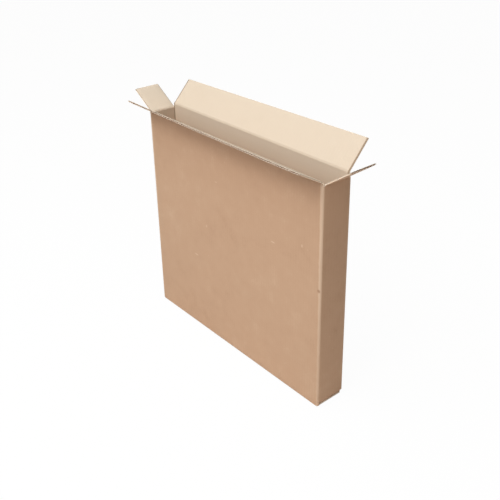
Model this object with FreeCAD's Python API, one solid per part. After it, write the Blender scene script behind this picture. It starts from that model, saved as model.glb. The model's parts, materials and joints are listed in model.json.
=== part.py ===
"""Slim corrugated cardboard box, standing open with its four top flaps folded outwards.

The box is one sheet of single wall board. It folds into four walls with rounded vertical
folds, closes with a lap glued inside the right end, and has a floor of overlapping flaps
that are glued together. Each top flap is a solid of its own, because it swings on its crease.

Lengths are in millimetres and angles in degrees. +Z is up and +X runs along the box.
The origin is the middle of the footprint, on the surface that the box stands on.
"""
import FreeCAD
import Part

import math
import os

# The sheet
board = 4.0
liner = 0.6
flute_pitch = 7.9
flute_web = 0.7
flute_depth = 6.0
fold_inner_radius = 1.0
fold_radius = fold_inner_radius + board

# The box, measured over the outside of the board
length = 600.0
width = 76.0
height = 540.0

# Clearances at the creases and between flaps that close over each other
hinge_gap = 0.15
layer_gap = 0.3
tip_gap = 0.5
side_gap = 0.4

# Slots between neighbouring flaps, measured in from the end faces
top_slot = 2.0
bottom_slot = 3.5

# Flaps
end_flap_reach = 79.0
bottom_end_flap_reach = 75.0
lap_width = 35.0
lap_top_drop = 3.0
raw_edge_setback = 0.8

# How far each top flap leans out from upright as it stands open
front_flap_lean = 60.0
back_flap_lean = 42.0
left_flap_lean = 57.5
right_flap_lean = 55.5

# The end flaps close first, then the front flap and last the back flap
crease_step = board + layer_gap
front_crease_z = height
end_crease_z = front_crease_z - crease_step
back_crease_z = front_crease_z + crease_step

front_flap_reach = width - board - tip_gap
back_flap_reach = width - tip_gap
long_flap_length = length - 2 * top_slot
end_flap_length = width - 2 * board - 2 * side_gap

# Outer faces, inner faces and the centres of the folds
outer_x = length / 2
outer_y = width / 2
inner_x = outer_x - board
inner_y = outer_y - board
fold_x = outer_x - fold_radius
fold_y = outer_y - fold_radius
lap_fold_x = inner_x - fold_radius

# Heights of the floor's layers: front flap, back flap and the two end flaps
back_floor_z = board
end_floor_z = 2 * board
floor_z = 3 * board

# Cutters reach past the board by this much
overcut = 2.0
cutter_top = back_crease_z + overcut


def box(x_from, x_to, y_from, y_to, z_from, z_to):
    """Return a block between two opposite corners."""
    corner = FreeCAD.Vector(x_from, y_from, z_from)
    return Part.makeBox(x_to - x_from, y_to - y_from, z_to - z_from, corner)


def prism(points, sweep):
    """Return the solid that a closed polygon of points sweeps out along a vector."""
    corners = [FreeCAD.Vector(*point) for point in points]
    outline = Part.makePolygon(corners + corners[:1])
    return Part.Face(outline).extrude(sweep)


def fold(centre, start_direction, axis, run):
    """Return a quarter turn of board round a fold.

    centre: centre of the turn at the near end of the fold.
    start_direction: unit vector from the centre to where the turn starts.
    axis: unit vector along the fold. The turn goes anticlockwise about it.
    run: length of the fold.
    """
    frame = FreeCAD.Matrix()
    side = axis.cross(start_direction)
    frame.A11, frame.A21, frame.A31 = start_direction
    frame.A12, frame.A22, frame.A32 = side
    frame.A13, frame.A23, frame.A33 = axis
    frame.A14, frame.A24, frame.A34 = centre
    origin = FreeCAD.Vector(0, 0, 0)
    upright = FreeCAD.Vector(0, 0, 1)
    outside = Part.makeCylinder(fold_radius, run, origin, upright, 90)
    inside = Part.makeCylinder(fold_inner_radius, run, origin, upright, 90)
    turn = outside.cut(inside)
    turn.Placement = FreeCAD.Placement(frame)
    return turn


def wall_sheets():
    """Return the walls, their vertical folds and the glued lap, before the tops are cut."""
    front_bottom = fold_radius
    back_bottom = back_floor_z + fold_radius
    end_bottom = end_floor_z + fold_radius
    end_top = end_crease_z - hinge_gap
    lap_top = end_crease_z - board - lap_top_drop
    up = FreeCAD.Vector(0, 0, 1)
    corner_rise = cutter_top - front_bottom
    back_rise = cutter_top - back_bottom

    def corner(x, y, bottom, rise, start_direction):
        return fold(FreeCAD.Vector(x, y, bottom), start_direction, up, rise)

    return [
        box(-fold_x, fold_x, -outer_y, -inner_y, front_bottom, cutter_top),
        box(-fold_x, lap_fold_x, inner_y, outer_y, back_bottom, cutter_top),
        box(-outer_x, -inner_x, -fold_y, fold_y, end_bottom, end_top),
        box(inner_x, outer_x, -fold_y, outer_y - raw_edge_setback, end_bottom, end_top),
        corner(-fold_x, -fold_y, front_bottom, corner_rise, FreeCAD.Vector(-1, 0, 0)),
        corner(fold_x, -fold_y, front_bottom, corner_rise, FreeCAD.Vector(0, -1, 0)),
        corner(-fold_x, fold_y, back_bottom, back_rise, FreeCAD.Vector(0, 1, 0)),
        corner(lap_fold_x, fold_y, back_bottom, back_rise, FreeCAD.Vector(1, 0, 0)),
        box(inner_x - board, inner_x, fold_y - lap_width, fold_y, end_bottom, lap_top),
    ]


def floor_sheets():
    """Return the floor's four glued flaps, each with the fold that joins it to its wall."""
    half_run = outer_x - bottom_slot
    run = 2 * half_run
    along = FreeCAD.Vector(1, 0, 0)
    across = FreeCAD.Vector(0, 1, 0)
    down = FreeCAD.Vector(0, 0, -1)
    front_centre = FreeCAD.Vector(-half_run, -fold_y, fold_radius)
    back_centre = FreeCAD.Vector(-half_run, fold_y, back_floor_z + fold_radius)
    left_centre = FreeCAD.Vector(-fold_x, -fold_y, end_floor_z + fold_radius)
    right_centre = FreeCAD.Vector(fold_x, -fold_y, end_floor_z + fold_radius)
    flap_end_x = outer_x - bottom_end_flap_reach
    return [
        fold(front_centre, -across, along, run),
        box(-half_run, half_run, -fold_y, outer_y - tip_gap, 0, board),
        fold(back_centre, down, along, run),
        box(-half_run, half_run, tip_gap - inner_y, fold_y, back_floor_z, end_floor_z),
        fold(left_centre, down, across, 2 * fold_y),
        box(-fold_x, -flap_end_x, -fold_y, fold_y, end_floor_z, floor_z),
        fold(right_centre, along, across, 2 * fold_y),
        box(flap_end_x, fold_x, -fold_y, fold_y, end_floor_z, floor_z),
    ]


def crease_cutter(crease_z, half_span, half_run, along_x):
    """Return the cutter that trims a wall top to a slope falling inwards from its crease.

    half_span: half the distance between the crease and the crease of the wall opposite.
    half_run: half the length of the cut.
    along_x: True where the crease runs along X, and False where it runs along Y.
    """
    crest = crease_z - hinge_gap
    near = -half_span - overcut
    far = -half_span + fold_radius
    profile = [
        (near, crest + overcut),
        (far, crest - fold_radius),
        (far, cutter_top + overcut),
        (near, cutter_top + overcut),
    ]
    if along_x:
        points = [(-half_run, across, up) for across, up in profile]
        return prism(points, FreeCAD.Vector(2 * half_run, 0, 0))
    points = [(across, -half_run, up) for across, up in profile]
    return prism(points, FreeCAD.Vector(0, 2 * half_run, 0))


def turned(shape, angle):
    """Return a copy of a shape turned about the box's upright middle line."""
    copy = shape.copy()
    copy.rotate(FreeCAD.Vector(0, 0, 0), FreeCAD.Vector(0, 0, 1), angle)
    return copy


def carton_body():
    """Return the box without its top flaps, as one folded and glued sheet."""
    long_run = outer_x + overcut
    front_cutter = crease_cutter(front_crease_z, outer_y, long_run, True)
    back_cutter = turned(crease_cutter(back_crease_z, outer_y, long_run, True), 180)
    left_cutter = crease_cutter(end_crease_z, outer_x, inner_y, False)
    right_cutter = turned(left_cutter, 180)
    slot_x = outer_x - top_slot
    slot_z = end_crease_z - hinge_gap
    slot_y = outer_y + overcut
    slots = [
        box(slot_x, long_run, -slot_y, slot_y, slot_z, cutter_top + overcut),
        box(-long_run, -slot_x, -slot_y, slot_y, slot_z, cutter_top + overcut),
    ]
    lap_fold_relief = box(
        lap_fold_x, inner_x + overcut, fold_y - overcut, inner_y,
        end_crease_z - board - lap_top_drop, cutter_top + overcut,
    )
    sheets = wall_sheets() + floor_sheets()
    sheet = sheets[0].multiFuse(sheets[1:])
    cutters = [front_cutter, back_cutter, left_cutter, right_cutter, lap_fold_relief] + slots
    return sheet.cut(cutters).removeSplitter()


def flute_pockets(flap_length, reach):
    """Return the open ends of the flutes along the free edge of an upright flap.

    The corrugated sheet inside the board runs as a zigzag between the two liners, so the
    pockets are triangles that stand on one liner and on the other in turn.
    """
    slope = (board - 2 * liner) / (flute_pitch / 2)
    half_web = flute_web / math.sin(math.atan(slope)) / 2
    half_base = flute_pitch / 2 - half_web
    peak = half_base * slope
    pitches = int((flap_length - 2 * board) / flute_pitch)
    first = -pitches * flute_pitch / 2
    sweep = FreeCAD.Vector(0, 0, flute_depth + overcut)
    pockets = []
    for half_pitch in range(2 * pitches - 1):
        middle = first + (half_pitch + 1) * flute_pitch / 2
        outwards = half_pitch % 2 == 0
        foot = liner if outwards else board - liner
        tip = foot + peak if outwards else foot - peak
        corners = [
            (middle - half_base, foot, reach - flute_depth),
            (middle + half_base, foot, reach - flute_depth),
            (middle, tip, reach - flute_depth),
        ]
        pockets.append(prism(corners, sweep))
    return pockets


def top_flap(flap_length, reach, lean, turn, crease):
    """Return a top flap, leaning out from its crease.

    It is made upright over the front wall, with its outer face on the crease, and then
    leans out, turns to its own wall and moves to the crease.

    flap_length: length of the flap along its crease.
    reach: distance from the crease to the free edge.
    lean: angle from upright, outwards.
    turn: angle about +Z from the front wall to the flap's own wall.
    crease: middle of the crease line, on the outer face of the wall.
    """
    start = -flap_length / 2
    profile = [
        (start, 0, hinge_gap),
        (start, board, hinge_gap + board),
        (start, board, reach),
        (start, 0, reach),
    ]
    sheet = prism(profile, FreeCAD.Vector(flap_length, 0, 0))
    flap = sheet.cut(flute_pockets(flap_length, reach))
    origin = FreeCAD.Vector(0, 0, 0)
    flap.rotate(origin, FreeCAD.Vector(1, 0, 0), lean)
    flap.rotate(origin, FreeCAD.Vector(0, 0, 1), turn)
    flap.translate(crease)
    return flap


def parts():
    """Return every node of the box by name."""
    front_crease = FreeCAD.Vector(0, -outer_y, front_crease_z)
    back_crease = FreeCAD.Vector(0, outer_y, back_crease_z)
    left_crease = FreeCAD.Vector(-outer_x, 0, end_crease_z)
    right_crease = FreeCAD.Vector(outer_x, 0, end_crease_z)
    return {
        "carton_body": carton_body(),
        "top_flap_front": top_flap(
            long_flap_length, front_flap_reach, front_flap_lean, 0, front_crease),
        "top_flap_back": top_flap(
            long_flap_length, back_flap_reach, back_flap_lean, 180, back_crease),
        "top_flap_left": top_flap(
            end_flap_length, end_flap_reach, left_flap_lean, -90, left_crease),
        "top_flap_right": top_flap(
            end_flap_length, end_flap_reach, right_flap_lean, 90, right_crease),
    }


def main():
    """Write one STEP file for each node and print its size."""
    os.makedirs("parts", exist_ok=True)
    for name, shape in parts().items():
        solids = shape.Solids
        if len(solids) != 1 or not shape.isValid():
            raise ValueError(f"{name} is not one valid solid")
        solids[0].exportStep(f"parts/{name}.step")
        bounds = shape.BoundBox
        print(f"{name}: {shape.Volume:.0f} mm3, {bounds.XLength:.1f} x {bounds.YLength:.1f} x "
              f"{bounds.ZLength:.1f} mm")


main()
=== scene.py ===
"""Looks of a slim corrugated cardboard box that stands open with its four top flaps out.

The box is one folded sheet of kraft board. Its walls and floor are folded here along the
same creases as the solid, and every top flap is a sheet of its own whose crease bends
smoothly from the wall into the flap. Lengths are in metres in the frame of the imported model:
+Z is up, +X runs along the box and the front wall faces -Y.
"""
from __future__ import annotations

import json
import logging
import math
from collections.abc import Callable, Iterable
from dataclasses import dataclass
from enum import Enum

import bmesh
import bpy
from mathutils import Matrix, Vector

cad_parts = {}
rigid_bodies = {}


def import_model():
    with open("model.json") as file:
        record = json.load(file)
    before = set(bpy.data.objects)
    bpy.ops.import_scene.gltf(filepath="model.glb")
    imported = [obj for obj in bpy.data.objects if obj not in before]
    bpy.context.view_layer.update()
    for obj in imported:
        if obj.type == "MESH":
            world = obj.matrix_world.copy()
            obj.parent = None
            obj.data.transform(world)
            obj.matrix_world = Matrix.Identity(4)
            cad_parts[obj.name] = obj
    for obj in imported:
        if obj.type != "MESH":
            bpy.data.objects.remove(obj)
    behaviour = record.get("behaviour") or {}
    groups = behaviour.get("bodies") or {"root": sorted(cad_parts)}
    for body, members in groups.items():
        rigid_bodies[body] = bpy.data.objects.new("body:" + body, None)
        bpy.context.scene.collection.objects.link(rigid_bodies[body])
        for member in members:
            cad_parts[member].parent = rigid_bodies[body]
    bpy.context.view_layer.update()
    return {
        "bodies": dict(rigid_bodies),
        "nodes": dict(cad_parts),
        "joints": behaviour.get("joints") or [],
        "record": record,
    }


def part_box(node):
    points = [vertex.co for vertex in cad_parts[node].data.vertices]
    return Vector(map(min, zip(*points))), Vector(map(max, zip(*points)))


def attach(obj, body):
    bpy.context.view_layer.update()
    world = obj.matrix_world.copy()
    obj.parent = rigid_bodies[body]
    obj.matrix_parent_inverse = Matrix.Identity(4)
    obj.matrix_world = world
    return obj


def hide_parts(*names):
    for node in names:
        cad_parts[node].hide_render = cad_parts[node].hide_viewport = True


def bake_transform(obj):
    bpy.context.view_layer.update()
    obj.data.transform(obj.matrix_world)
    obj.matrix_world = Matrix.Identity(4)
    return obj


BODY = "carton_body"
SHEET_MAP = "sheet"
NEAR = 1e-5
FACING = 0.9
END_FACING = 0.72
WHITE = (1.0, 1.0, 1.0, 1.0)

log = logging.getLogger("cardboard_box")

Point = tuple[float, float, float]
Span = tuple[float, float]
Colour = tuple[float, float, float, float]


@dataclass(frozen=True)
class Board:
    """Single wall corrugated board: two liners with a wavy medium glued between them."""

    thickness: float = 0.004
    liner: float = 0.0005
    medium: float = 0.0004
    pitch: float = 0.0079
    inner_radius: float = 0.001
    cut_depth: float = 0.005

    @property
    def fold_radius(self) -> float:
        """Return the radius of the outer face round a fold."""
        return self.thickness + self.inner_radius


class Bench:
    """Edit mode tools that pick faces and edges by their place, as a hand would."""

    @staticmethod
    def clear() -> None:
        """Leave edit mode and deselect every object."""
        if bpy.context.object and bpy.context.object.mode != "OBJECT":
            bpy.ops.object.mode_set(mode="OBJECT")
        bpy.ops.object.select_all(action="DESELECT")

    @classmethod
    def plane(cls, name: str, corners: Iterable[Point]) -> bpy.types.Object:
        """Add a plane primitive and set its four corners.

        Args:
            name: name of the new object.
            corners: four points in order round the face.

        Returns:
            The new object, selected and active.
        """
        cls.clear()
        bpy.ops.mesh.primitive_plane_add(size=1.0)
        piece = bpy.context.object
        piece.name = name
        piece.data.name = name
        for index, corner in zip(piece.data.polygons[0].vertices, corners):
            piece.data.vertices[index].co = corner
        return piece

    @classmethod
    def block(cls, name: str, low: Point, high: Point) -> bpy.types.Object:
        """Add a cube primitive that fills the space between two corners.

        Args:
            name: name of the new object.
            low: lowest corner.
            high: highest corner.

        Returns:
            The new object, selected and active.
        """
        cls.clear()
        middle = (Vector(low) + Vector(high)) / 2
        bpy.ops.mesh.primitive_cube_add(size=1.0, location=middle)
        piece = bpy.context.object
        piece.name = name
        piece.scale = Vector(high) - Vector(low)
        bpy.ops.object.transform_apply(location=True, rotation=True, scale=True)
        return piece

    @staticmethod
    def edit(piece: bpy.types.Object) -> None:
        """Open a piece in edit mode, as the only one selected."""
        Bench.clear()
        piece.select_set(True)
        bpy.context.view_layer.objects.active = piece
        bpy.ops.object.mode_set(mode="EDIT")

    @staticmethod
    def pick_edges(piece: bpy.types.Object, test: Callable[[Vector], bool]) -> None:
        """Select the edges whose two ends both pass a test.

        Args:
            piece: object in edit mode.
            test: says whether a point belongs.
        """
        bpy.ops.mesh.select_mode(type="EDGE")
        bpy.ops.mesh.select_all(action="DESELECT")
        mesh = bmesh.from_edit_mesh(piece.data)
        picked = [edge for edge in mesh.edges if all(test(end.co) for end in edge.verts)]
        for edge in picked:
            edge.select_set(True)
        bmesh.update_edit_mesh(piece.data)

    @staticmethod
    def pick_faces(piece: bpy.types.Object, test: Callable[[Vector, Vector], bool]) -> None:
        """Select the faces that pass a test.

        Args:
            piece: object in edit mode.
            test: takes a face's centre and normal and says whether it belongs.
        """
        bpy.ops.mesh.select_mode(type="FACE")
        bpy.ops.mesh.select_all(action="DESELECT")
        mesh = bmesh.from_edit_mesh(piece.data)
        picked = [face for face in mesh.faces if test(face.calc_center_median(), face.normal)]
        for face in picked:
            face.select_set(True)
        bmesh.update_edit_mesh(piece.data)

    @staticmethod
    def pull(move: Point) -> None:
        """Extrude the selected edges along a vector."""
        bpy.ops.mesh.extrude_region_move(TRANSFORM_OT_translate={"value": move})

    @staticmethod
    def divide(planes: Iterable[tuple[Point, Point]]) -> None:
        """Cut the whole mesh in edit mode along planes, each given by a point and a normal."""
        for point, normal in planes:
            bpy.ops.mesh.select_all(action="SELECT")
            bpy.ops.mesh.bisect(plane_co=point, plane_no=normal)

    @staticmethod
    def apply(piece: bpy.types.Object, kind: str, **settings: object) -> None:
        """Add a modifier, set it up and apply it.

        Args:
            piece: object that takes it.
            kind: type of the modifier.
            settings: its properties by name.
        """
        Bench.clear()
        piece.select_set(True)
        bpy.context.view_layer.objects.active = piece
        modifier = piece.modifiers.new(kind.title(), kind)
        for name, value in settings.items():
            setattr(modifier, name, value)
        bpy.ops.object.modifier_apply(modifier=modifier.name)

    @staticmethod
    def join(main: bpy.types.Object, others: Iterable[bpy.types.Object]) -> bpy.types.Object:
        """Join other objects into a main one and return it."""
        Bench.clear()
        for other in others:
            other.select_set(True)
        main.select_set(True)
        bpy.context.view_layer.objects.active = main
        bpy.ops.object.join()
        return main

    @staticmethod
    def shape(piece: bpy.types.Object, move: Callable[[Vector], Vector]) -> None:
        """Move every vertex of a piece to where a function puts it."""
        for vertex in piece.data.vertices:
            vertex.co = move(vertex.co)
        piece.data.update()

    @staticmethod
    def dress(piece: bpy.types.Object, papers: Iterable[bpy.types.Material]) -> None:
        """Give a piece its materials, in the order of Side."""
        for paper in papers:
            piece.data.materials.append(paper)

    @staticmethod
    def smooth(piece: bpy.types.Object, angle: float = math.radians(38)) -> None:
        """Shade a piece smooth, with edges sharper than an angle left crisp."""
        Bench.clear()
        piece.select_set(True)
        bpy.context.view_layer.objects.active = piece
        bpy.ops.object.shade_smooth_by_angle(angle=angle)


class Signal:
    """A shader socket that turns Python arithmetic into Math nodes."""

    def __init__(self, graph: Graph, socket: bpy.types.NodeSocket) -> None:
        """Wrap a socket of a graph."""
        self.graph = graph
        self.socket = socket

    def __add__(self, other: Signal | float) -> Signal:
        """Return self + other."""
        return self.graph.math("ADD", self, other)

    def __sub__(self, other: Signal | float) -> Signal:
        """Return self - other."""
        return self.graph.math("SUBTRACT", self, other)

    def __mul__(self, other: Signal | float) -> Signal:
        """Return self * other."""
        return self.graph.math("MULTIPLY", self, other)

    def __abs__(self) -> Signal:
        """Return the size of self."""
        return self.graph.math("ABSOLUTE", self)

    def wave(self) -> Signal:
        """Return the sine of self."""
        return self.graph.math("SINE", self)

    def ramp(self, low: float, high: float) -> Signal:
        """Return 0 below low and 1 above high, with a smooth rise between.

        Args:
            low: value where the rise starts.
            high: value where it ends, which may be below low for a fall.

        Returns:
            The eased signal.
        """
        node = self.graph.node(
            "ShaderNodeMapRange", {"interpolation_type": "SMOOTHSTEP"},
            {"Value": self, "From Min": low, "From Max": high},
        )
        return Signal(self.graph, node.outputs["Result"])


class Graph:
    """Builds the node tree of one material."""

    def __init__(self, name: str) -> None:
        """Start an empty material with a name."""
        self.material = bpy.data.materials.new(name)
        self.material.use_nodes = True
        self.tree = self.material.node_tree
        self.tree.nodes.clear()

    def node(self, kind: str, settings: dict[str, object],
             inputs: dict[str | int, object]) -> bpy.types.Node:
        """Add a node.

        Args:
            kind: the node's type.
            settings: its properties by name, which are set first.
            inputs: values or signals of its sockets, by name or number.

        Returns:
            The new node.
        """
        made = self.tree.nodes.new(kind)
        for name, value in settings.items():
            setattr(made, name, value)
        for key, value in inputs.items():
            if isinstance(value, Signal):
                self.tree.links.new(value.socket, made.inputs[key])
            else:
                made.inputs[key].default_value = value
        return made

    def math(self, operation: str, *values: Signal | float) -> Signal:
        """Return the result of a Math node on values or signals."""
        made = self.node("ShaderNodeMath", {"operation": operation}, dict(enumerate(values)))
        return Signal(self, made.outputs[0])

    def place(self) -> Signal:
        """Return the point in the frame, in metres."""
        return Signal(self, self.node("ShaderNodeTexCoord", {}, {}).outputs["Object"])

    def sheet(self) -> Signal:
        """Return the place on the sheet: across the flutes, then along them, in metres."""
        return Signal(self, self.node("ShaderNodeUVMap", {"uv_map": SHEET_MAP}, {}).outputs["UV"])

    def split(self, vector: Signal) -> tuple[Signal, Signal, Signal]:
        """Return the three parts of a vector."""
        made = self.node("ShaderNodeSeparateXYZ", {}, {"Vector": vector})
        x, y, z = (Signal(self, output) for output in made.outputs)
        return x, y, z

    def scaled(self, vector: Signal, scale: tuple[float, ...]) -> Signal:
        """Return a vector with each part scaled."""
        made = self.node("ShaderNodeVectorMath", {"operation": "MULTIPLY"}, {0: vector, 1: scale})
        return Signal(self, made.outputs["Vector"])

    def distance(self, vector: Signal, point: tuple[float, ...]) -> Signal:
        """Return how far a vector is from a fixed point."""
        made = self.node("ShaderNodeVectorMath", {"operation": "DISTANCE"}, {0: vector, 1: point})
        return Signal(self, made.outputs["Value"])

    def noise(self, vector: Signal, scale: float, detail: float, roughness: float = 0.55) -> Signal:
        """Return soft random values about 0.5.

        Args:
            vector: where to read it.
            scale: how many features lie in a unit.
            detail: octaves.
            roughness: strength of the finer octaves.

        Returns:
            The noise.
        """
        made = self.node(
            "ShaderNodeTexNoise", {},
            {"Vector": vector, "Scale": scale, "Detail": detail, "Roughness": roughness},
        )
        return Signal(self, made.outputs["Fac"])

    def cells(self, vector: Signal, scale: float) -> tuple[Signal, Signal]:
        """Return the distance to the nearest of scattered points, and that point's own random lot.

        Args:
            vector: where to read it.
            scale: how many points lie along a unit.

        Returns:
            The distance in cells and the lot from 0 to 1.
        """
        made = self.node("ShaderNodeTexVoronoi", {}, {"Vector": vector, "Scale": scale})
        lot, _green, _blue = self.split(Signal(self, made.outputs["Color"]))
        return Signal(self, made.outputs["Distance"]), lot

    def blend(self, factor: Signal | float, first: object, second: object) -> Signal:
        """Return a colour that goes from a first to a second as a factor goes from 0 to 1."""
        made = self.node(
            "ShaderNodeMix", {"data_type": "RGBA"}, {"Factor": factor, 6: first, 7: second}
        )
        return Signal(self, made.outputs[2])

    def finish(self, colour: Signal, roughness: Signal | float, height: Signal) -> bpy.types.Material:
        """Close the graph with a matt paper surface.

        Args:
            colour: base colour.
            roughness: roughness of the paper.
            height: height of the relief in metres.

        Returns:
            The finished material.
        """
        bump = self.node("ShaderNodeBump", {}, {"Strength": 1.0, "Distance": 1.0, "Height": height})
        surface = self.node(
            "ShaderNodeBsdfPrincipled", {},
            {"Base Color": colour, "Roughness": roughness, "Specular IOR Level": 0.25,
             "Normal": Signal(self, bump.outputs["Normal"])},
        )
        self.node("ShaderNodeOutputMaterial", {},
                  {"Surface": Signal(self, surface.outputs["BSDF"])})
        return self.material


def colour(red: float, green: float, blue: float) -> Colour:
    """Return an opaque colour from 0 to 255 display values.

    Args:
        red: red as it shows on a display.
        green: green.
        blue: blue.

    Returns:
        The same colour in the linear values that shaders use.
    """
    def linear(value: float) -> float:
        share = value / 255
        return share / 12.92 if share <= 0.04045 else ((share + 0.055) / 1.055) ** 2.4

    return linear(red), linear(green), linear(blue), 1.0


class Side(Enum):
    """Faces of the board, in the order of a piece's material slots."""

    OUTER = 0
    INNER = 1
    CUT = 2


@dataclass(frozen=True)
class Scuff:
    """A small scuffed or pressed spot on the paper."""

    place: Point
    radii: Point
    lighter: float
    depth: float


@dataclass(frozen=True)
class KraftPaper:
    """Kraft liner with fibres, mottling and the faint washboard of the flutes below it.

    A scale is in features a metre, a weight is a layer's share of the mottling, and a span
    says where a tint starts and where it is full.
    """

    name: str
    tone: Colour
    pale: Colour
    dark: Colour
    # tint along the folds: on the outside a pale mix of real wear and painted highlight, on the inside
    # painted shade in the corners
    worn_highlight_and_corner_shade: Colour = (0.64, 0.47, 0.345, 1.0)
    # colour of the painted shade towards the floor of the box
    deep_shade: Colour = (0.53, 0.38, 0.26, 1.0)
    mottle: float = 0.30
    washboard_height: float = 0.00005
    fibre_height: float = 0.00002
    scuffs: tuple[Scuff, ...] = ()
    worn_and_highlit_folds: bool = False
    inside: bool = False
    speckled: bool = False
    patch_scale: float = 4.5
    cloud_scale: float = 34.0
    grain_scale: float = 2600.0
    fibre_scale: Point = (170.0, 1500.0, 1.0)
    fleck_scale: Point = (520.0, 1900.0, 1.0)
    patch_weight: float = 0.9
    cloud_weight: float = 0.7
    fibre_weight: float = 0.75
    grain_weight: float = 0.35
    crest_weight: float = 0.035
    full_shade: float = 0.22
    dark_flecks: Span = (0.29, 0.2)
    dark_fleck_strength: float = 0.5
    pale_flecks: Span = (0.71, 0.8)
    pale_fleck_strength: float = 0.4
    speck_scale: float = 26.0
    speck_squash: Point = (1.0, 1.0, 1.6)
    speck_ragged: float = 0.03
    speck_radii: Span = (0.045, 0.02)
    pale_lots: Span = (0.55, 0.75)
    pale_speck_strength: float = 0.7
    dark_lots: Span = (0.22, 0.10)
    dark_speck_strength: float = 0.5
    # the pale fold strips are partly real wear and partly a painted highlight on the rounded folds
    wear_highlight_strip: Span = (-0.0062, -0.0035)
    wear_highlight_taper: float = 0.006
    wear_highlight_ragged: float = 0.004
    wear_highlight_insets: Span = (0.0045, 0.0015)
    wear_highlight_heights: Span = (-0.05, 0.42)
    wear_highlight_strength: float = 0.65
    wear_highlight_patches: float = 0.6
    # heights where the painted shade inside the box starts and where it is full
    deep_shade_heights: Span = (0.545, 0.465)
    deep_shade_strength: float = 0.75
    # insets where the painted shade along the inner corners starts and where it is full
    corner_shade_insets: Span = (0.0022, 0.0006)
    corner_shade_strength: float = 0.8
    scuff_span: Span = (1.0, 0.35)
    scuff_ragged: float = 0.8
    roughness: float = 0.78
    roughness_drift: float = 0.12

    def specks(self, graph: Graph, place: Signal, grain: Signal, tinted: Signal) -> Signal:
        """Return the colour with pale and dark specks scattered over it."""
        nearest, lot = graph.cells(graph.scaled(place, self.speck_squash), self.speck_scale)
        speck = (nearest + (grain - 0.5) * self.speck_ragged).ramp(*self.speck_radii)
        pale = speck * lot.ramp(*self.pale_lots) * self.pale_speck_strength
        dark = speck * lot.ramp(*self.dark_lots) * self.dark_speck_strength
        return graph.blend(dark, graph.blend(pale, tinted, self.pale), self.dark)

    def highlit_worn_folds(self, graph: Graph, place: Signal, cloud: Signal, patches: Signal,
                   tinted: Signal, half_x: float, half_y: float) -> Signal:
        """Return the colour with pale strips along the vertical folds, widest at the top, partly real
        wear and partly a painted highlight.
        """
        x, y, z = graph.split(place)
        from_end = abs(x) - half_x + z * self.wear_highlight_taper + (cloud - 0.5) * self.wear_highlight_ragged
        on_face = abs(y).ramp(*(half_y - inset for inset in self.wear_highlight_insets))
        strength = z.ramp(*self.wear_highlight_heights) * self.wear_highlight_strength + patches * self.wear_highlight_patches
        return graph.blend(from_end.ramp(*self.wear_highlight_strip) * on_face * strength, tinted, self.worn_highlight_and_corner_shade)

    def painted_depth_shade(self, graph: Graph, place: Signal, tinted: Signal, board: Board,
               half_x: float, half_y: float) -> Signal:
        """Return the colour with painted shade: darker towards the floor of the box and along its inner
        corners.
        """
        x, y, z = graph.split(place)
        inner_x = half_x - board.thickness
        inner_y = half_y - board.thickness
        within = abs(x).ramp(half_x, inner_x) * abs(y).ramp(half_y, inner_y)
        # painted shade: the inside paper darkens towards the floor of the box
        depth = within * z.ramp(*self.deep_shade_heights) * self.deep_shade_strength
        tinted = graph.blend(depth, tinted, self.deep_shade)
        # painted shade: a dark line along the inner corners of the box
        corner_shade_x = abs(x).ramp(*(inner_x - inset for inset in self.corner_shade_insets))
        corner_shade_y = abs(y).ramp(*(inner_y - inset for inset in self.corner_shade_insets))
        return graph.blend(corner_shade_x * corner_shade_y * self.corner_shade_strength, tinted, self.worn_highlight_and_corner_shade)

    def build(self, board: Board, half_x: float, half_y: float) -> bpy.types.Material:
        """Return the material.

        Args:
            board: the board under the paper.
            half_x: half the length of the box.
            half_y: half its width.

        Returns:
            The finished material.
        """
        graph = Graph(self.name)
        place = graph.place()
        sheet = graph.sheet()
        across, _along, _unused = graph.split(sheet)
        patches = graph.noise(place, self.patch_scale, 3.0)
        cloud = graph.noise(place, self.cloud_scale, 4.0, 0.6)
        fibres = graph.noise(graph.scaled(sheet, self.fibre_scale), 1.0, 3.0, 0.65)
        grain = graph.noise(place, self.grain_scale, 2.0, 0.6)
        flecks = graph.noise(graph.scaled(sheet, self.fleck_scale), 1.0, 1.0)
        crests = (across * (2 * math.pi / board.pitch)).wave()

        shade = (patches - 0.5) * self.patch_weight + (cloud - 0.5) * self.cloud_weight
        shade = shade + (fibres - 0.5) * self.fibre_weight + (grain - 0.5) * self.grain_weight
        mottled = (shade + crests * self.crest_weight) * self.mottle
        tinted = graph.blend(mottled.ramp(0.0, self.full_shade), self.tone, self.pale)
        tinted = graph.blend(mottled.ramp(0.0, -self.full_shade), tinted, self.dark)
        darker = flecks.ramp(*self.dark_flecks) * self.dark_fleck_strength
        tinted = graph.blend(darker, tinted, self.dark)
        paler = flecks.ramp(*self.pale_flecks) * self.pale_fleck_strength
        tinted = graph.blend(paler, tinted, self.pale)
        height = crests * self.washboard_height + fibres * self.fibre_height
        height = height + cloud * (2 * self.fibre_height)
        if self.speckled:
            tinted = self.specks(graph, place, grain, tinted)
        # pale fold strips: partly real wear, partly a painted highlight
        if self.worn_and_highlit_folds:
            tinted = self.highlit_worn_folds(graph, place, cloud, patches, tinted, half_x, half_y)
        # painted shade inside the box and along its inner corners
        if self.inside:
            tinted = self.painted_depth_shade(graph, place, tinted, board, half_x, half_y)
        for scuff in self.scuffs:
            shrink = tuple(1 / radius for radius in scuff.radii)
            centre = tuple(part * scale for part, scale in zip(scuff.place, shrink))
            distance = graph.distance(graph.scaled(place, shrink), centre)
            spot = (distance + (grain - 0.5) * self.scuff_ragged).ramp(*self.scuff_span)
            tinted = graph.blend(spot * abs(scuff.lighter), tinted,
                                 self.pale if scuff.lighter > 0 else self.dark)
            height = height - spot * scuff.depth
        return graph.finish(tinted, patches * self.roughness_drift + self.roughness, height)


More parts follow.
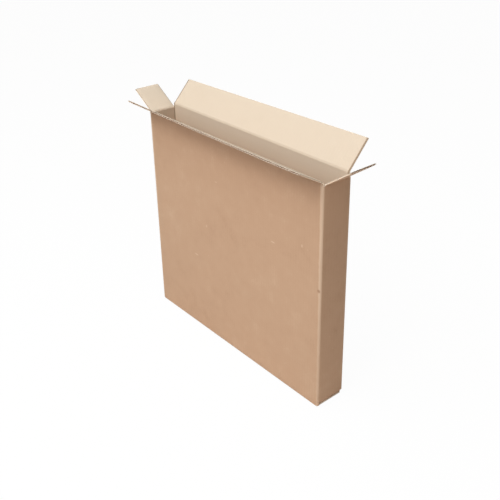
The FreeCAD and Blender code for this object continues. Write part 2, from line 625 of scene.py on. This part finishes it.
@dataclass
class CartonSheet:
    """The walls, the glued lap and the floor, folded from one sheet."""

    board: Board
    half_x: float
    half_y: float
    wall_top: float
    post_top: float
    lap_width: float = 0.035
    raw_setback: float = 0.0008
    floor_reach: float = 0.0700
    end_floor_reach: float = 0.0700
    floor_gap: float = 0.0005
    bulge: float = 0.0012
    turn_steps: int = 6
    cell: float = 0.03
    row_foot: float = 0.02
    row_margin: float = 0.03

    def floor_heights(self) -> tuple[float, float, float]:
        """Return the underside heights of the front, back and end floor flaps."""
        return 0.0, self.board.thickness, 2 * self.board.thickness

    def turn(self, piece: bpy.types.Object, test: Callable[[Vector], bool], centre: Point,
             axis: Point, angle: float) -> None:
        """Spin the edges that pass a test through a quarter turn of board.

        Args:
            piece: object in edit mode.
            test: says whether a point belongs to the edges.
            centre: centre of the fold.
            axis: direction of the fold.
            angle: right-handed turn about the axis. The operator itself turns the other way.
        """
        Bench.pick_edges(piece, test)
        bpy.ops.mesh.spin(steps=self.turn_steps, angle=-angle, center=centre, axis=axis)

    def fold_walls(self) -> bpy.types.Object:
        """Fold the outer face of the walls from the raw edge of the right end to the lap.

        Returns:
            The open sheet, in edit mode.
        """
        radius = self.board.fold_radius
        low = self.floor_heights()[2] + radius
        high = self.wall_top
        fold_x = self.half_x - radius
        fold_y = self.half_y - radius
        inner_x = self.half_x - self.board.thickness
        lap_x = inner_x - radius
        raw_y = self.half_y - self.raw_setback
        piece = Bench.plane("carton_sheet", [
            (self.half_x, -fold_y, low), (self.half_x, raw_y, low),
            (self.half_x, raw_y, high), (self.half_x, -fold_y, high),
        ])
        Bench.edit(piece)
        upright = (0.0, 0.0, 1.0)
        quarter = math.pi / 2

        def at(x: float, y: float) -> Callable[[Vector], bool]:
            return lambda point: abs(point.x - x) < NEAR and abs(point.y - y) < NEAR

        self.turn(piece, at(self.half_x, -fold_y), (fold_x, -fold_y, 0), upright, -quarter)
        Bench.pick_edges(piece, at(fold_x, -self.half_y))
        Bench.pull((-2 * fold_x, 0, 0))
        self.turn(piece, at(-fold_x, -self.half_y), (-fold_x, -fold_y, 0), upright, -quarter)
        Bench.pick_edges(piece, at(-self.half_x, -fold_y))
        Bench.pull((0, 2 * fold_y, 0))
        self.turn(piece, at(-self.half_x, fold_y), (-fold_x, fold_y, 0), upright, -quarter)
        Bench.pick_edges(piece, at(-fold_x, self.half_y))
        Bench.pull((fold_x + lap_x, 0, 0))
        self.turn(piece, at(lap_x, self.half_y), (lap_x, fold_y, 0), upright, -quarter)
        Bench.pick_edges(piece, at(inner_x, fold_y))
        Bench.pull((0, -self.lap_width, 0))
        return piece

    def fold_floor(self, piece: bpy.types.Object) -> None:
        """Bring the walls down to their folds and turn the four floor flaps in."""
        radius = self.board.fold_radius
        front, back, end = self.floor_heights()
        low = end + radius
        fold_x = self.half_x - radius
        fold_y = self.half_y - radius
        lap_x = self.half_x - self.board.thickness - radius
        quarter = math.pi / 2

        def bottom(z: float) -> Callable[[Vector], bool]:
            return lambda point: abs(point.z - z) < NEAR

        Bench.pick_edges(piece, lambda p: bottom(low)(p) and p.y < -fold_y + NEAR)
        Bench.pull((0, 0, front - end))
        Bench.pick_edges(piece, lambda p: bottom(low)(p) and p.y > fold_y - NEAR
                         and p.x < self.half_x - NEAR)
        Bench.pull((0, 0, back - end))
        level = front + radius
        self.turn(piece, lambda p: bottom(level)(p) and p.y < -self.half_y + NEAR,
                  (0, -fold_y, level), (1, 0, 0), quarter)
        Bench.pick_edges(piece, lambda p: bottom(front)(p) and abs(p.y + fold_y) < NEAR)
        Bench.pull((0, self.floor_reach, 0))
        level = back + radius
        self.turn(piece, lambda p: bottom(level)(p) and p.y > self.half_y - NEAR,
                  (0, fold_y, level), (1, 0, 0), -quarter)
        Bench.pick_edges(piece, lambda p: bottom(back)(p) and abs(p.y - fold_y) < NEAR)
        Bench.pull((0, self.floor_gap - fold_y - (self.half_y - self.board.thickness), 0))
        for sign in (-1, 1):
            self.turn(
                piece,
                lambda p: bottom(low)(p) and abs(p.x - sign * self.half_x) < NEAR
                and abs(p.y) < fold_y + NEAR,
                (sign * fold_x, 0, low), (0, 1, 0), sign * quarter)
            Bench.pick_edges(piece, lambda p: bottom(end)(p) and abs(p.x - sign * fold_x) < NEAR
                             and abs(p.y) < fold_y + NEAR)
            Bench.pull((-sign * self.end_floor_reach, 0, 0))

    def build(self, papers: list[bpy.types.Material]) -> bpy.types.Object:
        """Return the finished sheet with its thickness.

        Args:
            papers: materials in the order of Side.

        Returns:
            The sheet, in one object.
        """
        radius = self.board.fold_radius
        fold_x = self.half_x - radius
        fold_y = self.half_y - radius
        piece = self.fold_walls()
        Bench.divide([((self.half_x, fold_y, 0), (0, 1, 0))])
        self.fold_floor(piece)
        columns = int(2 * fold_x / self.cell)
        rows = int(self.wall_top / self.cell)
        Bench.divide([((0, 0, 0), (0, 1, 0))])
        Bench.divide(((-fold_x + 2 * fold_x * (i + 1) / (columns + 1), 0, 0), (1, 0, 0))
                     for i in range(columns))
        rise = self.wall_top - self.row_margin
        Bench.divide(((0, 0, self.row_foot + rise * i / rows), (0, 0, 1))
                     for i in range(rows + 1))
        self.raise_posts(piece)
        bpy.ops.mesh.select_all(action="SELECT")
        bpy.ops.mesh.remove_doubles(threshold=NEAR)
        bpy.ops.mesh.normals_make_consistent(inside=False)
        bpy.ops.object.mode_set(mode="OBJECT")
        self.face_out(piece)
        map_sheet(piece)
        Bench.dress(piece, papers)
        Bench.shape(piece, lambda p: self.bulged(p, fold_x, fold_y))
        Bench.apply(piece, "SOLIDIFY", thickness=self.board.thickness, offset=-1.0,
                    use_even_offset=True, material_offset=Side.INNER.value,
                    material_offset_rim=Side.CUT.value)
        return piece

    def raise_posts(self, piece: bpy.types.Object) -> None:
        """Carry the rounded corners up between the creases, to the foot of the slots."""
        fold_x = self.half_x - self.board.fold_radius
        fold_y = self.half_y - self.board.fold_radius
        lap_x = self.half_x - self.board.thickness - self.board.fold_radius

        def corner(p: Vector) -> bool:
            if abs(p.z - self.wall_top) > NEAR or abs(p.y) < fold_y - NEAR:
                return False
            return abs(p.x) > (lap_x if p.x > 0 and p.y > 0 else fold_x) - NEAR

        Bench.pick_edges(piece, corner)
        Bench.pull((0, 0, self.post_top - self.wall_top))

    def face_out(self, piece: bpy.types.Object) -> None:
        """Turn the sheet over if its front wall faces inwards."""
        front = min(piece.data.polygons, key=lambda face: face.center.y)
        if front.normal.y > 0:
            piece.data.flip_normals()

    def bulged(self, point: Vector, fold_x: float, fold_y: float) -> Vector:
        """Return where a point of the flat walls goes when the long walls belly out."""
        if abs(point.y) < self.half_y - NEAR or abs(point.x) > fold_x:
            return point
        share = math.cos(point.x / fold_x * math.pi / 2)
        rise = math.sin(min(max(point.z / self.wall_top, 0.0), 1.0) * math.pi)
        return point + Vector((0, math.copysign(self.bulge * share * rise, point.y), 0))


def map_sheet(piece: bpy.types.Object) -> None:
    """Give a piece the map of the flat sheet: across the flutes, then along them."""
    layer = piece.data.uv_layers.get(SHEET_MAP) or piece.data.uv_layers.new(name=SHEET_MAP)
    for face in piece.data.polygons:
        end = abs(face.normal.x) > END_FACING
        for corner in face.loop_indices:
            point = piece.data.vertices[piece.data.loops[corner].vertex_index].co
            layer.data[corner].uv = (point.y if end else point.x, point.z + point.y * (not end))


class Wall(Enum):
    """Walls of the box, each with the turn about +Z that takes the front wall to it."""

    FRONT = 0
    RIGHT = 90
    BACK = 180
    LEFT = 270


@dataclass
class TopFlap:
    """A top flap with the crease that joins it to its wall."""

    board: Board
    wall: Wall
    node: str
    crease: Vector
    lean: float
    reach: float
    half_length: float
    half_wall: float
    wall_top: float
    slot_foot: float
    warps: Span = (0.0, 0.0)
    askew: float = 0.0
    slot_round: float = 0.0003
    band: float = 0.0040
    turn_reach: float = 0.0058
    pinch: float = 0.0005
    side_pinch: float = 0.0013
    free_pinch: float = 0.0003
    knife_reach: float = 0.012
    cap_tuck: float = 0.0004
    side_groove: float = 0.0004
    score_share: float = 0.35
    fold_rows: tuple[float, ...] = (0.12, 0.3, 0.5, 0.75, 1)
    wave_steps: int = 12
    cell: float = 0.03

    def rows(self) -> list[float]:
        """Return the heights above the crease where the sheet is divided."""
        inside = [self.band * share * sign for share in self.fold_rows for sign in (-1, 1)]
        board_end = self.reach - self.board.cut_depth
        count = max(2, round((board_end - self.band) / self.cell))
        beyond = [self.band + (board_end - self.band) * i / count for i in range(1, count)]
        crushed = [self.reach - self.knife_reach, self.reach - 0.5 * self.knife_reach]
        return [-self.turn_reach, *inside, self.turn_reach, *beyond, *crushed]

    def columns(self) -> list[float]:
        """Return the places along the crease where the sheet is divided."""
        count = max(2, round(2 * self.half_wall / self.cell))
        inside = [self.half_wall * (2 * i / count - 1) for i in range(1, count)]
        ends = [self.half_length - self.knife_reach * share for share in (0.5, 1)]
        return [-place for place in ends] + inside + ends

    def board_sheet(self, papers: list[bpy.types.Material]) -> bpy.types.Object:
        """Return the flap's board, upright over the front wall, without its fluted edge.

        Args:
            papers: materials in the order of Side.

        Returns:
            The board.
        """
        foot = self.wall_top - self.crease.z
        neck = self.slot_foot - self.crease.z
        shoulder = neck + self.slot_round
        piece = Bench.plane(f"{self.node}_sheet", [
            (-self.half_wall, 0, foot), (self.half_wall, 0, foot),
            (self.half_wall, 0, neck), (-self.half_wall, 0, neck),
        ])
        Bench.edit(piece)
        Bench.pick_edges(piece, lambda p: abs(p.z - neck) < NEAR)
        Bench.pull((0, 0, self.slot_round))
        bpy.ops.transform.resize(value=(self.half_length / self.half_wall, 1, 1),
                                 center_override=(0, 0, shoulder))
        Bench.pick_edges(piece, lambda p: abs(p.z - shoulder) < NEAR)
        Bench.pull((0, 0, self.reach - self.board.cut_depth - shoulder))
        Bench.divide(((0, 0, height), (0, 0, 1)) for height in self.rows())
        Bench.divide(((place, 0, 0), (1, 0, 0)) for place in self.columns())
        bpy.ops.object.mode_set(mode="OBJECT")
        if piece.data.polygons[0].normal.y > 0:
            piece.data.flip_normals()
        Bench.dress(piece, papers)
        Bench.apply(piece, "SOLIDIFY", thickness=self.board.thickness, offset=-1.0,
                    material_offset=Side.INNER.value, material_offset_rim=Side.CUT.value)
        self.groove_ends(piece)
        return piece

    def groove_ends(self, piece: bpy.types.Object) -> None:
        """Sink the middle of the two side edges, between the liners."""
        Bench.edit(piece)
        Bench.pick_faces(piece, lambda centre, normal: abs(normal.x) > FACING and centre.z > self.band)
        bpy.ops.mesh.inset(thickness=self.board.liner, depth=0)
        bpy.ops.mesh.extrude_region_move()
        bpy.ops.transform.resize(value=((self.half_length - self.side_groove) / self.half_length, 1, 1),
                                 center_override=(0, 0, 0))
        bpy.ops.object.mode_set(mode="OBJECT")

    def pinched(self, point: Vector) -> Vector:
        """Return where a point goes when the score line and the knife crush the board."""
        def near(distance: float) -> float:
            return max(1 - distance / self.knife_reach, 0.0) ** 2

        score = self.pinch * math.exp(-((point.z / (self.score_share * self.band)) ** 2))
        side = self.side_pinch * near(self.half_length - abs(point.x))
        free = self.free_pinch * near(self.reach - point.z)
        above = min(max(point.z / self.band, 0.0), 1.0)
        depth = point.y / self.board.thickness
        tuck = self.cap_tuck * depth * math.exp(-((point.z / self.band) ** 2))
        return Vector((
            point.x * (1 - tuck / self.half_length),
            point.y - (2 * depth - 1) * (score + max(side, free) * above),
            point.z,
        ))

    def fluted_edge(self) -> list[bpy.types.Object]:
        """Return the two liners and the wavy medium that show at the free edge."""
        low = self.reach - self.board.cut_depth
        liner = self.board.liner
        thickness = self.board.thickness
        count = int(2 * self.half_length / self.board.pitch)
        medium = Bench.plane(f"{self.node}_medium", [
            (0, 0, low), (self.board.pitch, 0, low),
            (self.board.pitch, 0, self.reach), (0, 0, self.reach),
        ])
        Bench.edit(medium)
        Bench.divide(((self.board.pitch * i / self.wave_steps, 0, 0), (1, 0, 0))
                     for i in range(1, self.wave_steps))
        bpy.ops.object.mode_set(mode="OBJECT")
        swing = (thickness - 2 * liner - self.board.medium) / 2
        turns = 2 * math.pi / self.board.pitch
        Bench.shape(medium, lambda p: Vector(
            (p.x, thickness / 2 + swing * math.cos(p.x * turns), p.z)))
        Bench.apply(medium, "SOLIDIFY", thickness=self.board.medium, offset=0.0)
        Bench.apply(medium, "ARRAY", count=count, use_relative_offset=False,
                    use_constant_offset=True, constant_offset_displace=(self.board.pitch, 0, 0),
                    use_merge_vertices=True, merge_threshold=NEAR)
        start = -count * self.board.pitch / 2
        Bench.shape(medium, lambda p: p + Vector((start, 0, 0)))
        pieces = [medium]
        for name, face in (("outer", 0.0), ("inner", thickness - liner)):
            strip = Bench.block(f"{self.node}_{name}_liner", (-self.half_length, face, low),
                                (self.half_length, face + liner, self.reach))
            Bench.edit(strip)
            Bench.divide(((place, 0, 0), (1, 0, 0)) for place in self.columns())
            bpy.ops.object.mode_set(mode="OBJECT")
            pieces.append(strip)
        return pieces

    def sided(self, piece: bpy.types.Object) -> None:
        """Make the cut rims of a liner strip or a medium pale, and leave the rest brown."""
        for face in piece.data.polygons:
            face.material_index = Side.OUTER.value
            if abs(face.normal.z) > FACING or abs(face.normal.x) > FACING:
                face.material_index = Side.CUT.value
            if face.normal.y > FACING and face.center.y > self.board.thickness - NEAR:
                face.material_index = Side.INNER.value

    def bent(self, point: Vector) -> Vector:
        """Return where a point of the upright flap goes as the crease bends.

        Args:
            point: place in the upright flap, measured from its crease.

        Returns:
            The place in the frame.
        """
        share = min(max((point.z + self.band) / (2 * self.band), 0.0), 1.0)
        eased = share * share * (3 - 2 * share)
        side = 0.5 - point.x / (2 * self.half_length)
        beyond = max(point.z - self.band, 0.0) / (self.reach - self.band)
        point = point - Vector((0, 0, beyond * self.askew * (1 - side)))
        extra = self.warps[0] * side**2 + self.warps[1] * (1 - side) ** 2
        angle = (self.lean + extra) * eased
        leaning = Matrix.Rotation(angle, 4, "X") @ point
        turned = Matrix.Rotation(math.radians(self.wall.value), 4, "Z") @ leaning
        return turned + self.crease

    def build(self, papers: list[bpy.types.Material]) -> bpy.types.Object:
        """Return the finished flap, bent at its crease.

        Args:
            papers: materials in the order of Side.

        Returns:
            The flap's object.
        """
        sheet = self.board_sheet(papers)
        edge = self.fluted_edge()
        for piece in edge:
            Bench.dress(piece, papers)
            self.sided(piece)
        for piece in [sheet, *edge]:
            map_sheet(piece)
        flap = Bench.join(sheet, edge)
        Bench.shape(flap, self.pinched)
        Bench.shape(flap, self.bent)
        Bench.smooth(flap)
        start = self.crease + Vector((0, 0, -self.turn_reach))
        outwards = Matrix.Rotation(math.radians(self.wall.value), 4, "Z") @ Vector((0, -1, 0))
        along = outwards * math.sin(self.lean) + Vector((0, 0, math.cos(self.lean)))
        end = self.crease + along * self.turn_reach
        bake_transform(flap)
        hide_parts(self.node)
        return flap


@dataclass
class Studio:
    """Camera, soft lights and a pale floor."""

    eye: Point = (1.2067, -0.9720, 1.1222)
    azimuth: float = 50.841
    elevation: float = 25.364
    roll: float = -1.324
    focal_pixels: float = 747.4
    centre_pixels: Span = (244.0, 201.3)
    picture: float = 500.0
    sensor: float = 36.0
    sky: Colour = (1.0, 0.91, 0.82, 1.0)
    sky_strength: float = 0.21
    floor_tone: Colour = (0.9, 0.9, 0.9, 1.0)
    floor_glow: float = 0.97
    floor_radius: float = 9.0
    floor_drop: float = 0.0002

    def camera(self) -> None:
        """Make the camera that the picture was taken with."""
        lens = bpy.data.cameras.new("camera")
        lens.sensor_width = self.sensor
        lens.lens = self.sensor * self.focal_pixels / self.picture
        lens.shift_x = (self.picture / 2 - self.centre_pixels[0]) / self.picture
        lens.shift_y = (self.centre_pixels[1] - self.picture / 2) / self.picture
        lens.clip_end = 50.0
        camera = bpy.data.objects.new("camera", lens)
        bpy.context.collection.objects.link(camera)
        turn = (
            Matrix.Rotation(math.radians(self.azimuth), 4, "Z")
            @ Matrix.Rotation(math.radians(90 - self.elevation), 4, "X")
            @ Matrix.Rotation(math.radians(self.roll), 4, "Z")
        )
        camera.matrix_world = Matrix.Translation(self.eye) @ turn
        bpy.context.scene.camera = camera
        bpy.context.scene.view_settings.view_transform = "Standard"

    def lamp(self, name: str, eye: Point, target: Point, size: float, power: float,
             tint: Point) -> None:
        """Add a soft square lamp that faces a point.

        Args:
            name: name of the lamp.
            eye: where it is.
            target: where it points.
            size: its side.
            power: its power in watts.
            tint: its colour.
        """
        light = bpy.data.lights.new(name, "AREA")
        light.size = size
        light.energy = power
        light.color = tint
        lamp = bpy.data.objects.new(name, light)
        bpy.context.collection.objects.link(lamp)
        lamp.location = eye
        aim = Vector(target) - Vector(eye)
        lamp.rotation_euler = aim.to_track_quat("-Z", "Y").to_euler()

    def lights(self) -> None:
        """Light the box from the front and above, with the right end in soft shade."""
        middle = (0.0, 0.0, 0.3)
        self.lamp("overhead", (-0.2, -1.0, 2.6), middle,
                  size=2.0, power=58.0, tint=(0.90, 0.99, 1.0))
        self.lamp("front", (0.6, -2.2, 2.6), middle,
                  size=1.4, power=37.0, tint=(1.0, 0.91, 0.85))
        self.lamp("side", (3.0, -0.6, 1.2), middle,
                  size=1.6, power=7.0, tint=(1.0, 0.84, 0.70))
        world = bpy.data.worlds.new("studio")
        bpy.context.scene.world = world
        world.use_nodes = True
        tree = world.node_tree
        tree.nodes.clear()
        out = tree.nodes.new("ShaderNodeOutputWorld")
        mix = tree.nodes.new("ShaderNodeMixShader")
        ray = tree.nodes.new("ShaderNodeLightPath")
        soft = tree.nodes.new("ShaderNodeBackground")
        white = tree.nodes.new("ShaderNodeBackground")
        soft.inputs["Color"].default_value = self.sky
        soft.inputs["Strength"].default_value = self.sky_strength
        white.inputs["Color"].default_value = WHITE
        white.inputs["Strength"].default_value = 1.0
        tree.links.new(ray.outputs["Is Camera Ray"], mix.inputs["Fac"])
        tree.links.new(soft.outputs["Background"], mix.inputs[1])
        tree.links.new(white.outputs["Background"], mix.inputs[2])
        tree.links.new(mix.outputs["Shader"], out.inputs["Surface"])

    def floor(self) -> None:
        """Lay a pale floor that looks white to the camera and keeps the shadow."""
        Bench.clear()
        bpy.ops.mesh.primitive_circle_add(vertices=96, radius=self.floor_radius, fill_type="NGON",
                                          location=(0, 0, -self.floor_drop))
        floor = bpy.context.object
        floor.name = "floor"
        bpy.ops.object.transform_apply(location=True)
        graph = Graph("pale_floor")
        tree = graph.tree
        matt = graph.node("ShaderNodeBsdfDiffuse", {}, {"Color": self.floor_tone})
        glow = graph.node("ShaderNodeEmission", {}, {"Color": WHITE, "Strength": 1.0})
        ray = graph.node("ShaderNodeLightPath", {}, {})
        share = Signal(graph, ray.outputs["Is Camera Ray"]) * self.floor_glow
        mix = graph.node("ShaderNodeMixShader", {}, {
            "Fac": share, 1: Signal(graph, matt.outputs[0]), 2: Signal(graph, glow.outputs[0])})
        out = graph.node("ShaderNodeOutputMaterial", {}, {})
        tree.links.new(mix.outputs[0], out.inputs["Surface"])
        floor.data.materials.append(graph.material)


@dataclass
class CardboardBox:
    """The whole box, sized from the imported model."""

    frame: dict
    board: Board
    post_rise: float = 0.0055
    corner_gap: float = 0.006

    def papers(self, half_x: float, half_y: float) -> list[bpy.types.Material]:
        """Return the materials in the order of Side."""
        outer = KraftPaper(
            "kraft_outside", colour(193, 158, 131), colour(213, 184, 158), colour(168, 132, 105),
            # the pale strips along the vertical folds are partly real wear and partly a painted
            # highlight
            worn_and_highlit_folds=True, mottle=0.27, speckled=True,
            scuffs=(
                Scuff((0.2940, -0.0376, 0.2998), (0.0052, 0.004, 0.0056), -0.9, 0.0004),
                Scuff((0.1548, -0.0388, 0.3581), (0.0090, 0.004, 0.0020), 0.8, 0.0001),
                Scuff((-0.1302, -0.0390, 0.2090), (0.0100, 0.004, 0.0022), 0.8, 0.0001),
                Scuff((0.2437, -0.0385, 0.3848), (0.0022, 0.004, 0.0050), 0.9, 0.0001),
                Scuff((-0.0823, -0.0390, 0.3057), (0.0030, 0.004, 0.0045), 0.6, 0.0001),
                Scuff((-0.0394, -0.0385, 0.4347), (0.0060, 0.004, 0.0016), 0.6, 0.0001),
            ),
        )
        # The inside paper carries painted shade: a dark tint along its inner corners and a darker,
        # warmer tint towards the floor of the box.
        inner = KraftPaper(
            "kraft_inside", colour(208, 191, 173), colour(218, 204, 189), colour(194, 174, 153),
            mottle=0.18, inside=True, worn_highlight_and_corner_shade=colour(132, 108, 86), deep_shade=colour(200, 168, 140))
        cut = KraftPaper(
            "kraft_cut_edge", colour(240, 222, 203), colour(246, 234, 220), colour(214, 190, 166),
            mottle=0.4, washboard_height=0.0)
        return [paper.build(self.board, half_x, half_y) for paper in (outer, inner, cut)]

    def joint(self, name: str) -> dict:
        """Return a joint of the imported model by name."""
        return next(joint for joint in self.frame["joints"] if joint["name"] == name)

    def top_flap(self, wall: Wall, node: str, joint_name: str, half_wall: float,
                 wall_top: float, warps: Span = (0.0, 0.0),
                 askew: float = 0.0, longer: float = 0.0) -> TopFlap:
        """Return a top flap measured from its solid.

        Args:
            wall: the wall that it hangs on.
            node: its node.
            joint_name: its joint.
            half_wall: half the length of the crease's foot.
            wall_top: height where the wall hands over to the flap's sheet.
            warps: extra lean in radians at the end on the left of someone who faces the
                wall from outside, and at the end on the right.
            askew: how much shorter the flap is cut at the end on the right.
            longer: how much longer than the solid it is cut.

        Returns:
            The flap, ready to build.
        """
        joint = self.joint(joint_name)
        crease = Vector(joint["pos_m"])
        lean = math.radians(-joint["range_deg"][0] - 90)
        low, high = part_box(node)
        outwards = Matrix.Rotation(math.radians(wall.value), 4, "Z") @ Vector((0, -1, 0))
        on_x = abs(outwards.x) > 0.5
        tip = (high.x if outwards.x > 0 else -low.x) if on_x else (high.y if outwards.y > 0 else -low.y)
        start = abs(crease.x) if on_x else abs(crease.y)
        reach = (tip - start) / math.sin(lean) + longer
        half = (high.y - low.y) / 2 if on_x else (high.x - low.x) / 2
        return TopFlap(self.board, wall, node, crease, lean, reach, half, half_wall, wall_top,
                       wall_top + self.post_rise, warps, askew)

    def build(self) -> None:
        """Build and dress every piece."""
        low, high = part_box(BODY)
        half_x, half_y = high.x, high.y
        end_crease = self.joint("left_crease")["pos_m"][2]
        wall_top = end_crease - self.corner_gap
        papers = self.papers(half_x, half_y)
        sheet = CartonSheet(self.board, half_x, half_y, wall_top, wall_top + self.post_rise)
        carton = sheet.build(papers)
        Bench.smooth(carton)
        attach(carton, BODY)
        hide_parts(BODY)
        log.info("carton_sheet: %d faces", len(carton.data.polygons))
        radius = self.board.fold_radius
        flaps = [
            self.top_flap(Wall.FRONT, "top_flap_front", "front_crease", half_x - radius, wall_top,
                          (math.radians(-2.5), 0.0)),
            self.top_flap(Wall.BACK, "top_flap_back", "back_crease", half_x - radius, wall_top,
                          (0.0, math.radians(1)), askew=0.006),
            self.top_flap(Wall.LEFT, "top_flap_left", "left_crease", half_y - radius, wall_top),
            self.top_flap(Wall.RIGHT, "top_flap_right", "right_crease", half_y - radius, wall_top,
                          longer=0.003),
        ]
        for flap in flaps:
            made = flap.build(papers)
            log.info("%s: %d faces", made.name, len(made.data.polygons))


def main() -> None:
    """Load the frame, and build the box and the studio."""
    logging.basicConfig(level=logging.INFO, format="%(name)s: %(message)s")
    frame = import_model()
    studio = Studio()
    studio.camera()
    studio.lights()
    studio.floor()
    CardboardBox(frame, Board()).build()
    Bench.clear()
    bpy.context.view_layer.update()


if __name__ == "__main__":
    main()
